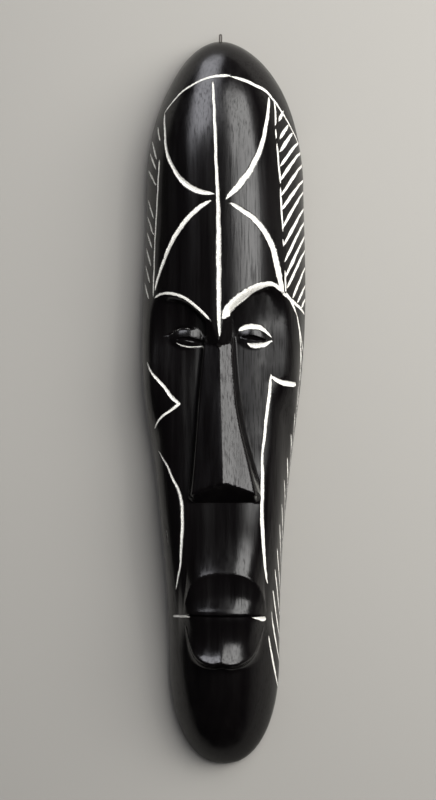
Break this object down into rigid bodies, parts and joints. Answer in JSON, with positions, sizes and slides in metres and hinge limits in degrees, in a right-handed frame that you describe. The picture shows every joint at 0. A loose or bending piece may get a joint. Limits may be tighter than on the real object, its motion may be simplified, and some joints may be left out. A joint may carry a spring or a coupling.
{
  "type": "long carved face mask",
  "caption": "Long narrow carved wooden face mask with a domed forehead, wedge nose, full lips and white-filled grooves, hollow behind and lying on its rim.",
  "frame": {"origin": "on the floor, under the middle of the whole piece's length and width", "axes": "+X across the face to its left ear side, which is the right of a viewer who looks at it; +Y up the face to the crown; +Z out of the face, away from the rim"},
  "size_m": [0.1354, 0.606, 0.0745],
  "materials": {
    "black_wood": "hardwood stained black and polished, with white clay rubbed into the cut lines",
    "iron_wire": "dull dark annealed wire"
  },
  "bodies": {
    "root": {"mask": "black_wood", "hanging_wire_eye": "iron_wire"}
  },
  "joints": []
}
